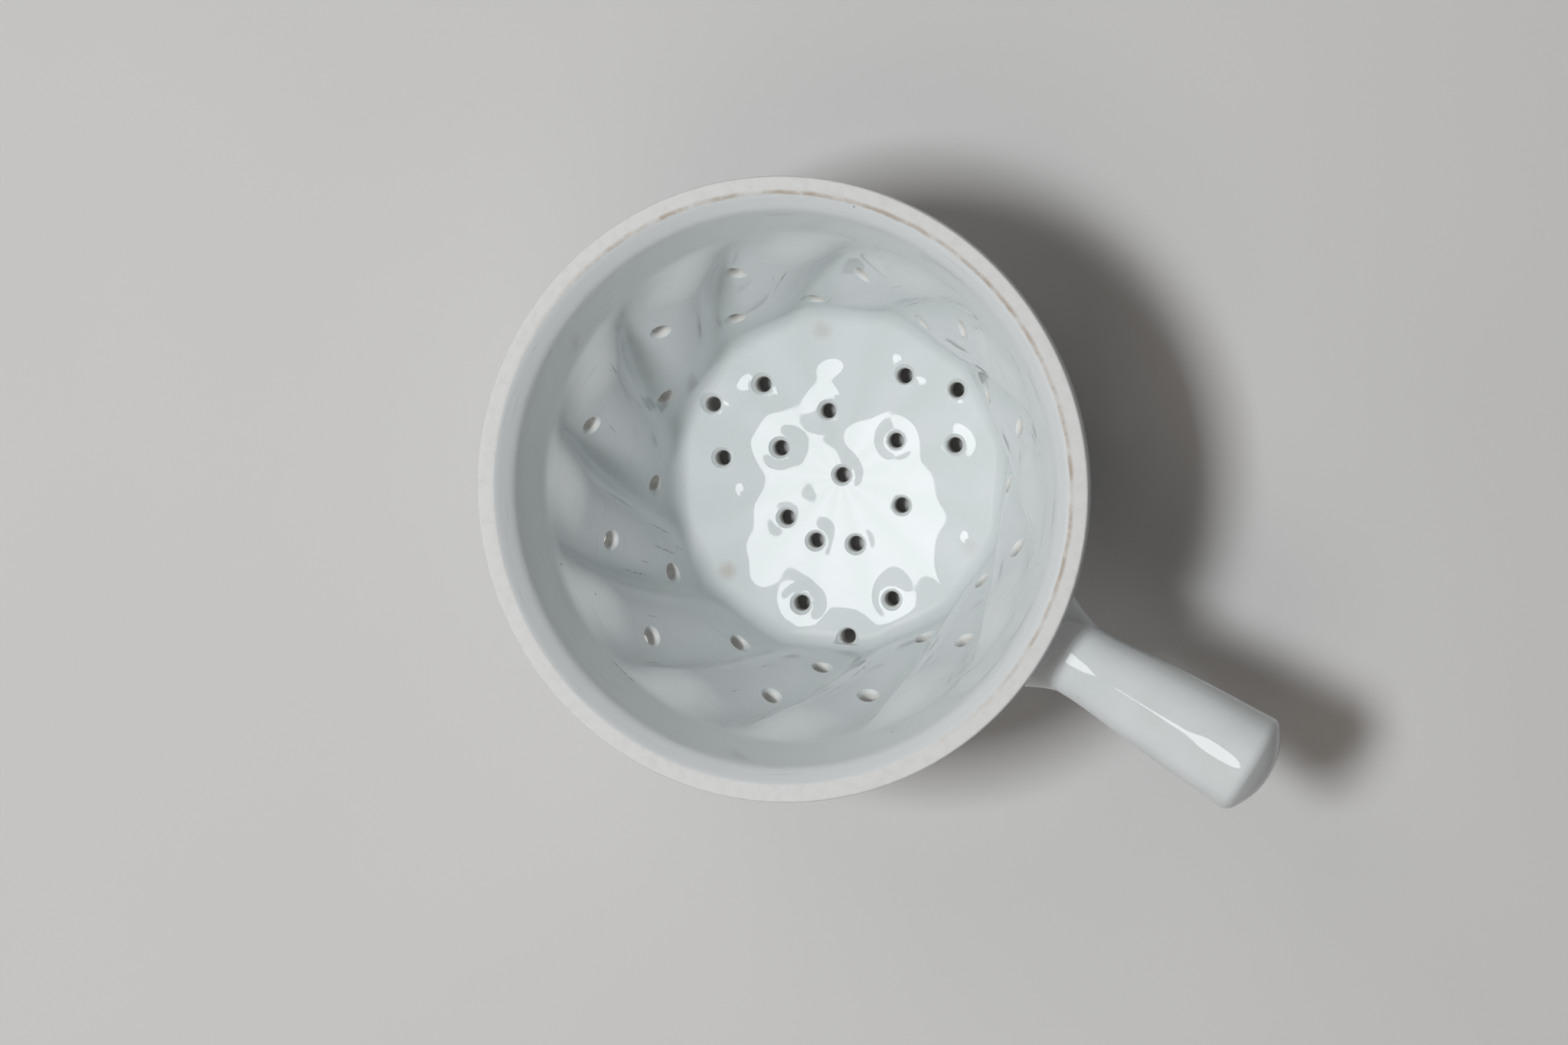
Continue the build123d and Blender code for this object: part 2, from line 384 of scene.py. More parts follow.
    def rim_profile(self) -> list[Point2]:
        """Draw the thick rim, from its flat top over its side to the ledge under it.

        Returns:
            Points as (radius, height).
        """
        inner = self.rim_radius - self.lip_width
        outer = self.rim_radius - self.rim_edge
        high, low = self.rim_z - self.rim_edge, self.rim_z - self.rim_height
        points = [(r, self.rim_z) for r in steps(inner, outer, self.rim_row)[1:-1]]
        points += [(outer + out, self.rim_z - down)
                   for down, out in arc(self.rim_edge, 0.0, 90.0, self.edge_step)]
        points += [(self.rim_radius, z) for z in steps(high, low + self.rim_edge, self.side_row)[1:-1]]
        points += [(outer + out, low + up) for up, out in arc(self.rim_edge, 90.0, 0.0, self.edge_step)]
        return points

    def outside_profile(self, sunk: float = 0.0, size: float = 1.9) -> list[Point2]:
        """Draw the outside, from under the rim to the middle of the base.

        Args:
            sunk: How far inside the real face the profile lies.
            size: About the distance of its points.

        Returns:
            Points as (radius, height).
        """
        wall = self.wall - sunk
        corner = self.inside_depth + self.floor_thickness - self.base_corner
        under = self.rim_z - self.rim_height
        ledge = self.valley_radius(self.rim_height) + wall
        points = [(ledge + self.nook_width, under), (ledge + self.nook_bevel, under - self.nook_bevel)]
        for depth in steps(self.rim_height + self.nook_height, corner, size):
            points.append((self.valley_radius(depth) + wall, self.rim_z - depth))
        for t in self.base_rows:
            depth = corner + t * self.base_corner
            radius = self.valley_radius(depth) + wall - self.base_corner * rounding(t)
            points.append((radius, self.rim_z - depth))
        return points + [(r, self.base_z) for r in steps(points[-1][0], 0.0, self.base_row)[1:]]

    def pressed(self, point: Vector) -> Vector:
        """Press the twisted ribs into a turned form.

        Args:
            point: A point of the turned form.

        Returns:
            The point with the twist and the rib at its place.
        """
        radius = hypot(point.x, point.y)
        depth = min(self.rim_z - point.z, self.inside_depth + self.floor_thickness)
        fade = min(radius / (self.floor_radius - self.floor_corner), 1.0) ** 3
        radius -= self.swell(depth) * self.wave(bearing(point.x, point.y)) * fade
        angle = atan2(point.y, point.x) + radians(self.turn(depth))
        return Vector((radius * cos(angle), radius * sin(angle), point.z))


@dataclass(frozen=True)
class Drain:
    """One drain hole: where it starts on the inside, which way it goes, how long it is and its size."""

    start: Vector
    heading: Vector
    length: float
    size: float


@dataclass(frozen=True)
class DrainPlan:
    """Places of the drain holes, in millimetres and degrees; an uneven pair is a share and its pace."""

    form: RibbedForm
    slope: float = 27.0
    lean: float = 22.0
    upper: Point2 = (37.5, 16.4)
    upper_stray: tuple[Point2, ...] = ((-1.6, -2), (-0.7, -2), (-1.8, -2), (-0.7, 2), (3.2, 1), (-0.9, 2),
                                       (-0.8, -4), (0, 3), (-1.7, -2), (3.5, 4), (0.5, 1), (0.4, 0))
    lower: Point2 = (65.0, 30.8)
    lower_stray: tuple[Point2, ...] = ((-0.9, 1), (-2.3, -1), (-2.5, -2), (4.5, 4), (-0.7, -2), (3.7, 0),
                                       (1.5, 3), (0.1, -1), (0.7, -2), (-1.8, -3), (1.5, 1), (-2.1, -2))
    middle: Point2 = (0.9, 90.0)
    ring_radius: float = 20.0
    ring_angles: tuple[float, ...] = (7, 64, 131, 185, 247, 279, 314)
    group_radius: float = 35.8
    group_tip: float = 7.9
    group_spread: float = 20.5
    group_places: tuple[Point2, ...] = ((67, 0), (181, 0), (304, 3))
    wall_uneven: Point2 = (0.03, 2.7)
    floor_uneven: Point2 = (0.025, 1.9)
    thinnest: float = 2.0
    thickest: float = 12.0
    probe: float = 0.1

    def wall_drains(self) -> list[Drain]:
        """List the two rings of wall holes, each square to the flank that it goes through.

        Returns:
            The upper ring and then the lower one, each from the handle round.
        """
        drains = []
        share, pace = self.wall_uneven
        level, fall = cos(radians(self.slope)), -sin(radians(self.slope))
        for ring, strays in ((self.upper, self.upper_stray), (self.lower, self.lower_stray)):
            for i, (stray_angle, stray_depth) in enumerate(strays):
                depth = ring[0] + stray_depth
                angle = ring[1] + i * self.form.pitch + stray_angle
                radius = self.form.radius(depth, angle, Side.INSIDE)
                a, heading = radians(angle), radians(angle - self.lean)
                start = Vector((radius * cos(a), radius * sin(a), self.form.rim_z - depth))
                way = Vector((level * cos(heading), level * sin(heading), fall))
                drains.append(Drain(start, way, self.thickness(start, way), 1.0 + share * sin(pace * i)))
        return drains

    def thickness(self, start: Vector, way: Vector) -> float:
        """Measure along a hole from the inside of the wall to its outside.

        Args:
            start: Where the hole starts on the inside.
            way: The hole's direction.

        Returns:
            The hole's length in millimetres.
        """
        length = self.thinnest
        while length < self.thickest:
            point = start + way * length
            angle = bearing(point.x, point.y)
            if hypot(point.x, point.y) > self.form.radius(self.form.rim_z - point.z, angle, Side.OUTSIDE):
                break
            length += self.probe
        return length

    def floor_places(self) -> list[Point2]:
        """List the floor holes: one in the middle, a ring, and groups of three.

        Returns:
            Their places as (x, y).
        """
        polar = [self.middle] + [(self.ring_radius, angle) for angle in self.ring_angles]
        for angle, outward in self.group_places:
            side = self.group_radius + outward
            polar += [(side, angle - self.group_spread), (side + self.group_tip, angle),
                      (side, angle + self.group_spread)]
        return [(r * cos(radians(a)), r * sin(radians(a))) for r, a in polar]

    def drains(self) -> list[Drain]:
        """List all the holes: those in the floor, which go straight down, and then those in the wall.

        Returns:
            The holes in order.
        """
        drains = []
        share, pace = self.floor_uneven
        for i, (x, y) in enumerate(self.floor_places()):
            height = self.form.floor_height(hypot(x, y))
            length, size = height - self.form.base_z, 1.0 + share * sin(pace * i)
            drains.append(Drain(Vector((x, y, height)), Vector((0, 0, -1)), length, size))
        return drains + self.wall_drains()


@dataclass
class Bowl:
    """The cast bowl with its ribs, rim, drain holes and dents, in millimetres and degrees.

    A swell is the glaze's rise round one floor hole. A lump is (x, y, width, height).
    """

    form: RibbedForm
    plan: DrainPlan
    columns: int = 288
    throat: float = 2.17
    mouth_round: float = 1.6
    mouth_turn: float = 64.0
    mouth_step: float = 8.0
    mouth_sink: float = 0.04
    lower_round: float = 0.96
    punch_top: Point2 = (2.2, 1.9)
    punch_waist: float = -2.5
    punch_edge: float = -4.0
    punch_foot: Point2 = (3.6, -6.0)
    punch_columns: int = 36
    throat_edge: Point2 = (0.12, 0.6)
    drain_reach: float = 8.0
    dent_depth: float = 0.14
    dent_width: float = 1.3
    flat_edge: Point2 = (44.0, 49.0)
    flat_heights: Point2 = (1.0, 1.5)
    swell_radius: float = 3.2
    swell_width: float = 2.83
    swells: tuple[float, ...] = (0.17, 0.07, 0.17, 0.13, 0.18, -0.04, 0.14, 0.17, 0.1, 0.07, 0.08,
                                 0.13, 0.08, 0.08, 0.16, 0.04, 0.15)
    lumps: tuple[tuple[float, float, float, float], ...] = (
        (-4.5, 3.5, 7.0, 0.13), (-19.0, 6.5, 12.0, 0.24), (-9.0, -41.5, 8.0, -0.29), (36.0, -6.0, 8.0, -0.17),
        (-17.5, -35.0, 7.0, -0.25), (1.0, -17.5, 12.5, 0.18), (-1.5, 17.0, 13.0, -0.36),
        (-9.5, -8.0, 7.0, 0.15), (29.5, -17.0, 7.0, 0.17), (-22.0, 32.0, 8.0, -0.45),
        (-11.5, -18.0, 6.5, 0.17), (19.0, 27.5, 7.0, 0.17), (-38.5, 1.5, 2.0, 0.28), (-36.5, 8.0, 2.6, 0.24),
        (-28.0, 11.5, 1.6, 0.21), (-30.5, -12.5, 1.8, 0.15), (-23.0, -17.5, 2.0, 0.18),
        (-3.0, 37.0, 1.8, 0.17), (7.5, 35.5, 2.0, 0.21), (19.0, 37.0, 1.3, 0.12))
    piece: bpy.types.Object = field(init=False)

    def build(self) -> None:
        """Model the bowl."""
        profile = self.form.inside_profile() + self.form.rim_profile() + self.form.outside_profile()
        self.piece = turned("bowl_shell", profile, self.columns)
        holes = self.plan.floor_places()
        reshape(self.piece, lambda point: self.glazed(self.form.pressed(point), holes))
        cut(self.piece, self.punches())
        smoothed(self.piece)
        self.mark_ribs()
        self.mark_drains()

    def dress(self, finish: bpy.types.Material) -> None:
        """Give the bowl its finish and its place in the frame."""
        settle(self.piece, finish, "bowl")

    def glazed(self, point: Vector, holes: Sequence[Point2]) -> Vector:
        """Lay the lumps of the casting, the swollen hole edges and the dents on the floor.

        Args:
            point: A point of the pressed shell.
            holes: Places of the floor holes.

        Returns:
            The point, raised or lowered if it lies on the floor.
        """
        radius = hypot(point.x, point.y)
        low, high = self.form.base_z + self.flat_heights[0], self.form.floor_z + self.flat_heights[1]
        if radius > self.flat_edge[1] or not low < point.z < high:
            return point
        rise = 0.0
        for height, (x, y) in zip(self.swells, holes):
            away = hypot(point.x - x, point.y - y)
            rise += height * exp(-((away - self.swell_radius) / self.swell_width) ** 2)
        for x, y, width, height in self.lumps:
            rise += height * exp(-((point.x - x) ** 2 + (point.y - y) ** 2) / width ** 2)
        rise *= 1 - ease(radius, *self.flat_edge)
        for i in range(self.form.feet):
            a = radians(self.form.foot_turn(i))
            away = hypot(point.x - self.form.foot_circle * cos(a), point.y - self.form.foot_circle * sin(a))
            rise -= self.dent_depth * exp(-(away / self.dent_width) ** 2)
        return Vector((point.x, point.y, point.z + rise))

    def punches(self) -> bpy.types.Object:
        """Make one tool of all the punches: a spool with rounded mouths, copied to every drain hole.

        Returns:
            The joined punches.
        """
        upper = arc(self.mouth_round, self.mouth_turn, 0.0, self.mouth_step)
        lower = arc(self.lower_round, 0.0, self.mouth_turn, self.mouth_step)
        top = upper[0][1] + self.mouth_sink
        bottom = self.punch_edge - lower[-1][1]
        profile = [(0.0, self.punch_top[1]), (self.throat + self.punch_top[0], self.punch_top[1])]
        profile += [(self.throat + out, up - top) for out, up in upper]
        profile += [(self.throat + out, self.punch_edge - down) for out, down in lower]
        profile += [(self.throat + self.punch_foot[0], self.punch_foot[1]), (0.0, self.punch_foot[1])]
        master = turned("drain_punch", profile, self.punch_columns)
        copies = []
        for drain in self.plan.drains():
            copy = copied(master, "drain_punch_copy")
            reshape(copy, lambda point: self.stretched(point, drain.size, -drain.length - bottom))
            spin_to = drain.heading.to_track_quat("-Z", "Y").to_matrix().to_4x4()
            copy.data.transform(Matrix.Translation(drain.start * MM) @ spin_to)
            copies.append(copy)
        bpy.data.objects.remove(master)
        pick(copies)
        bpy.ops.object.join()
        return copies[0]

    def stretched(self, point: Vector, size: float, longer: float) -> Vector:
        """Widen a punch, and lengthen it below its waist."""
        low = longer if point.z < self.punch_waist else 0.0
        return Vector((point.x * size, point.y * size, point.z + low))

    def mark_ribs(self) -> None:
        """Store how high on a rib each point lies, up to 1 on a full crest, and which points are inside."""
        heights, sides = [], []
        for vertex in self.piece.data.vertices:
            x, y, z = vertex.co / MM
            depth = self.form.rim_z - z
            rise = self.form.wave(bearing(x, y) - self.form.turn(depth)) * self.form.swell(depth)
            heights.append(rise / self.form.rib_height)
            middle = self.form.valley_radius(depth) - rise + self.form.wall / 2
            sides.append(1.0 if hypot(x, y) < middle or depth < self.form.lip_drop else 0.0)
        self.store("rib_rise", heights)
        self.store("inside", sides)

    def mark_drains(self) -> None:
        """Store how far into a drain hole each point lies, from 0 at its mouth to 1 in its throat."""
        drains = self.plan.drains()
        tree = kdtree.KDTree(len(drains))
        for i, drain in enumerate(drains):
            tree.insert(drain.start + drain.heading * (drain.length / 2), i)
        tree.balance()
        values = []
        for vertex in self.piece.data.vertices:
            point = vertex.co / MM
            _, i, away = tree.find(point)
            offset = point - drains[i].start
            offset -= drains[i].heading * offset.dot(drains[i].heading)
            near = 1 - ease(offset.length, *(self.throat + edge for edge in self.throat_edge))
            values.append(near if away < self.drain_reach else 0.0)
        self.store("throat", values)

    def store(self, name: str, values: Sequence[float]) -> None:
        """Keep a value for each point of the bowl as an attribute."""
        self.piece.data.attributes.new(name, "FLOAT", "POINT").data.foreach_set("value", values)


@dataclass
class Handle:
    """The hollow stub handle and the collar of slip round its root, in millimetres and degrees.

    A station of its half width or half height is (place along the handle, size).
    """

    form: RibbedForm
    axis_depth: float = 26.0
    end_x: float = 152.0
    neck: float = 10.5
    widths: tuple[Point2, ...] = ((60.0, 10.5), (92.0, 10.5), (96.0, 10.52), (101.0, 10.83), (107.0, 11.42),
                                  (116.0, 12.2), (130.0, 13.2), (139.0, 13.65), (145.0, 14.05),
                                  (150.0, 14.3), (152.0, 14.3))
    heights: tuple[Point2, ...] = ((60.0, 9.13), (87.0, 9.14), (92.0, 9.57), (97.0, 9.93), (105.0, 10.15),
                                   (117.0, 10.68), (128.0, 11.36), (132.0, 11.72), (143.0, 13.03),
                                   (147.0, 13.3), (152.0, 13.44))
    section: float = 2.3
    oval: float = 0.9
    wave: float = 0.0012
    wave_sizes: Point3 = (17.0, 9.0, 9.0)
    wave_shift: float = 5.0
    dome: float = 3.7
    end_edge: float = 3.4
    least_edge: float = 0.6
    edge_length: float = 0.95
    edge_width: float = 0.7
    edge_step: float = 7.5
    row: float = 0.9
    columns: int = 128
    shell: float = 4.5
    hollow_row: float = 3.0
    hollow_columns: int = 64
    vent_x: float = 141.3
    vent_turn: float = 25.0
    vent_throat: float = 2.65
    vent_round: float = 1.2
    vent_arc: Point2 = (64.0, 8.0)
    vent_top: Point2 = (5.8, 3.0)
    vent_sink: float = 1.15
    vent_depth: float = 9.0
    vent_share: float = 0.975
    vent_columns: int = 48
    seat_drop: float = 8.0
    seat_sunk: float = 0.8
    seat_row: float = 2.4
    seat_columns: int = 192
    wall_guess: float = 72.0
    wall_tries: int = 6
    collar_x: float = 88.4
    collar_side: float = 5.0
    collar_rows: int = 30
    collar_start: float = 0.25
    collar_flare: Point2 = (12.1, 1.5)
    collar_curl: Point2 = (3.4, 9.0)
    collar_bore: float = 0.7
    collar_bite: float = 0.35
    stem: bpy.types.Object = field(init=False)
    collar: bpy.types.Object = field(init=False)

    @property
    def axis_z(self) -> float:
        """Give the height of the handle's axis."""
        return self.form.rim_z - self.axis_depth

    def build(self) -> None:
        """Model the handle and its collar."""
        self.stem = self.build_stem()
        self.collar = self.build_collar()

    def dress(self, finish: bpy.types.Material) -> None:
        """Give the handle and its collar their finish and their places in the frame."""
        for piece, node in ((self.stem, "handle"), (self.collar, "slip_collar")):
            settle(piece, finish, node)

    def along(self, stations: Sequence[Point2], x: float) -> float:
        """Give a size at a place along the handle, on a smooth curve through its stations.

        Args:
            stations: Places and the sizes there.
            x: Place along the handle.

        Returns:
            The size in millimetres.
        """
        if x <= stations[0][0]:
            return stations[0][1]
        i = max(k for k in range(len(stations) - 1) if stations[k][0] <= x)
        (x0, size0), (x1, size1) = stations[i], stations[i + 1]
        before, after = stations[max(i - 1, 0)], stations[min(i + 2, len(stations) - 1)]
        span, t = x1 - x0, (x - x0) / (x1 - x0)
        lean0 = (size1 - before[1]) / (x1 - before[0]) * span
        lean1 = (after[1] - size0) / (after[0] - x0) * span
        return ((1 + 2 * t) * (1 - t) ** 2 * size0 + t * (1 - t) ** 2 * lean0
                + t * t * (3 - 2 * t) * size1 + t * t * (t - 1) * lean1)

    def profile(self, inset: float, size: float) -> list[Point2]:
        """Draw half the handle from its root over a rounded shoulder to the middle of its domed end.

        Args:
            inset: How far inside the handle's face the profile lies.
            size: About the distance of its points along the handle.

        Returns:
            Points as (radius, place along the handle).
        """
        root = self.form.valley_radius(self.axis_depth) - 2 * self.neck
        edge = max(self.end_edge - inset, self.least_edge)
        shoulder = self.end_x - inset - self.dome - self.edge_length * edge
        points = [(0.0, root)]
        points += [(self.along(self.widths, x) - inset, x) for x in steps(root, shoulder, size)]
        wide = points[-1][0]
        face = wide - self.edge_width * edge
        ball = (face ** 2 + self.dome ** 2) / (2 * self.dome)
        last = bearing(face, sqrt(ball ** 2 - face ** 2))
        points += [(wide - down, shoulder + on) for down, on in arc(edge, 0.0, last, self.edge_step)[1:]]
        rim, start = points[-1]
        low = sqrt(ball ** 2 - rim ** 2)
        for r in steps(rim, 0.0, size)[1:]:
            rise = (sqrt(ball ** 2 - r ** 2) - low) / (ball - low)
            points.append((r, start + (self.end_x - inset - start) * rise))
        return points

    def oval_at(self, point: Vector) -> Vector:
        """Flatten a form turned about the X axis and lift it to the handle's height."""
        return Vector((point.x, point.y, point.z * self.oval + self.axis_z))

    def wall_block(self) -> bpy.types.Object:
        """Make the bowl's outside, a little sunk, as a tool that fits the root to the wall.

        Returns:
            The tool.
        """
        outside = self.form.outside_profile(self.seat_sunk, self.seat_row)[2:]
        block = turned("wall_block", [(0.0, self.form.rim_z - self.seat_drop)] + outside, self.seat_columns)
        reshape(block, self.form.pressed)
        return block

    def vent_punch(self) -> bpy.types.Object:
        """Make the tool for the vent hole, which has a rounded mouth.

        Returns:
            The tool at its place.
        """
        profile = [(0.0, self.vent_top[1]), self.vent_top]
        profile += [(self.vent_throat + out, up - self.vent_sink)
                    for out, up in arc(self.vent_round, self.vent_arc[0], 0.0, self.vent_arc[1])]
        profile += [(self.vent_throat, -self.vent_depth), (0.0, -self.vent_depth)]
        punch = turned("vent_punch", profile, self.vent_columns)
        down = radians(self.vent_turn)
        way = Vector((0.0, -cos(down), sin(down)))
        reach = self.along(self.widths, self.vent_x) * self.vent_share
        mouth = Vector((self.vent_x, 0, self.axis_z)) - way * reach
        spin_to = way.to_track_quat("-Z", "X").to_matrix().to_4x4()
        punch.data.transform(Matrix.Translation(mouth * MM) @ spin_to)
        return punch

    def build_stem(self) -> bpy.types.Object:
        """Model the hollow handle, cut to the wall and with its vent hole.

        Returns:
            The finished mesh object.
        """
        stem = turned("handle_stem", self.profile(0.0, self.row), self.columns, Axis.ALONG_HANDLE)
        reshape(stem, self.worked)
        inside = self.profile(self.shell, self.hollow_row)
        hollow = turned("handle_hollow", inside, self.hollow_columns, Axis.ALONG_HANDLE)
        reshape(hollow, self.oval_at)
        for tool in (hollow, self.vent_punch(), self.wall_block()):
            cut(stem, tool)
        smoothed(stem)
        return stem

    def worked(self, point: Vector) -> Vector:
        """Give the turned handle its squarish oval section and the slight waves of thick glaze.

        Args:
            point: A point of the turned handle.

        Returns:
            Its place on the finished one.
        """
        a = atan2(point.z, point.y)
        square = (abs(cos(a)) ** self.section + abs(sin(a)) ** self.section) ** (-1 / self.section)
        across, side, up = (place / size for place, size in zip(point, self.wave_sizes))
        square += self.wave * noise.noise(Vector((across, side, up + self.wave_shift)))
        oval = self.along(self.heights, point.x) / self.along(self.widths, point.x)
        return Vector((point.x, point.y * square, point.z * square * oval + self.axis_z))

    def wall_x(self, y: float, z: float) -> float:
        """Find the outside of the wall behind a place on the handle.

        Args:
            y: Sideways place.
            z: Height.

        Returns:
            The place along X where the wall's outside is.
        """
        x = self.wall_guess
        for _ in range(self.wall_tries):
            radius = self.form.radius(self.form.rim_z - z, bearing(x, y), Side.OUTSIDE)
            x = sqrt(max(radius ** 2 - y ** 2, 1.0))
        return x

    def build_collar(self) -> bpy.types.Object:
        """Model the trumpet of slip, run out on the neck and spread on the wall.

        Returns:
            The finished mesh object.
        """
        rows = steps(0.0, 1.0, 1 / self.collar_rows)
        (flare, flare_power), (curl, curl_power) = self.collar_flare, self.collar_curl
        profile = [(self.neck - self.collar_start + flare * q ** flare_power + curl * q ** curl_power, q)
                   for q in rows]
        profile += [(self.neck - self.collar_bore, q) for q in reversed(rows)]
        profile.append(profile[0])
        collar = turned("slip_collar_ring", profile, self.columns, Axis.ALONG_HANDLE)
        reshape(collar, self.spread)
        smoothed(collar)
        return collar

    def spread(self, point: Vector) -> Vector:
        """Lay a point of the collar between the neck's end of it and the wall.

        Args:
            point: A point of the turned collar, with its share of the way to the wall as X.

        Returns:
            Its place on the finished one.
        """
        q = min(max(point.x, 0.0), 1.0)
        y, z = point.y, point.z * self.oval + self.axis_z
        end = self.collar_x + self.collar_side * y * y / (y * y + point.z * point.z)
        return Vector((end * (1 - q) + (self.wall_x(y, z) - self.collar_bite * q) * q, y, z))


@dataclass
class Feet:
    """The three pads under the base, in millimetres and degrees."""

    form: RibbedForm
    radius: float = 5.0
    edge: float = 1.5
    edge_step: float = 10.0
    sunk: float = 0.5
    taper: float = 0.15
    middle: float = 1.0
    rows: Point2 = (0.8, 0.4)
    flare: float = 0.1
    flare_drops: Point2 = (0.9, 0.35)
    columns: int = 48
    sharp: float = 50.0
    uneven: float = 0.02
    uneven_size: float = 4.0
    uneven_shift: float = 7.0
    pads: list[bpy.types.Object] = field(default_factory=list)

    def build(self) -> None:
        """Model one pad and copy it to the other places."""
        top = self.form.base_z + self.sunk
        inner, (flat_row, side_row) = self.radius - self.edge, self.rows
        side_end, flare_start = (top - drop for drop in self.flare_drops)
        profile = [(0.0, 0.0)] + [(r, 0.0) for r in steps(self.middle, inner, flat_row)]
        profile += [(inner + out, up) for up, out in arc(self.edge, self.edge_step, 90.0, self.edge_step)]
        profile += [(self.radius - self.taper * (z - self.edge), z)
                    for z in steps(self.edge, side_end, side_row)[1:]]
        profile += [(self.radius - self.flare, flare_start), (self.radius + self.flare, top), (0.0, top)]
        master = turned("foot_pad", profile, self.columns)
        for i in range(self.form.feet):
            pad = copied(master, f"foot_pad_{i + 1}")
            reshape(pad, lambda point: self.placed(point, i))
            smoothed(pad, self.sharp)
            self.pads.append(pad)
        bpy.data.objects.remove(master)

    def dress(self, finish: bpy.types.Material) -> None:
        """Give the pads their finish and their places in the frame."""
        for i, pad in enumerate(self.pads):
            settle(pad, finish, f"foot_{i + 1}")

    def placed(self, point: Vector, number: int) -> Vector:
        """Give a pad its uneven outline and its place under the base.

        Args:
            point: A point of the turned pad.
            number: Which pad it is.

        Returns:
            Its place on the finished one.
        """
        a = radians(self.form.foot_turn(number))
        spot = Vector((point.x / self.uneven_size, point.y / self.uneven_size, self.uneven_shift * number))
        stretch = 1 + self.uneven * noise.noise(spot)
        return Vector((point.x * stretch + self.form.foot_circle * cos(a),
                       point.y * stretch + self.form.foot_circle * sin(a), point.z))


Value = Union["Wire", float]
Colour = tuple[float, float, float, float]


def operator(operation: str, reflected: bool = False) -> Callable[["Wire", Value], "Wire"]:
    """Make the method of one operator on wires.

    Args:
        operation: The Math node's operation.
        reflected: Whether the wire comes second.

    Returns:
        The method.
    """
    def method(wire: "Wire", other: Value) -> "Wire":
        """Add a Math node for this wire and another value."""
        return wire.bench.maths(operation, *((other, wire) if reflected else (wire, other)))

    return method


class Wire:
    """A shader socket that takes part in Python expressions on values."""

    def __init__(self, bench: "Bench", socket: bpy.types.NodeSocket) -> None:
        """Hold a socket of a bench's node tree."""
        self.bench = bench
        self.socket = socket

    def sibling(self, name: str) -> "Wire":
        """Give another output of the same node."""
        return Wire(self.bench, self.socket.node.outputs[name])

    __add__, __radd__ = operator("ADD"), operator("ADD", True)
    __sub__, __rsub__ = operator("SUBTRACT"), operator("SUBTRACT", True)
    __mul__, __rmul__ = operator("MULTIPLY"), operator("MULTIPLY", True)
    __truediv__, __rtruediv__ = operator("DIVIDE"), operator("DIVIDE", True)
    __pow__, __rpow__ = operator("POWER"), operator("POWER", True)


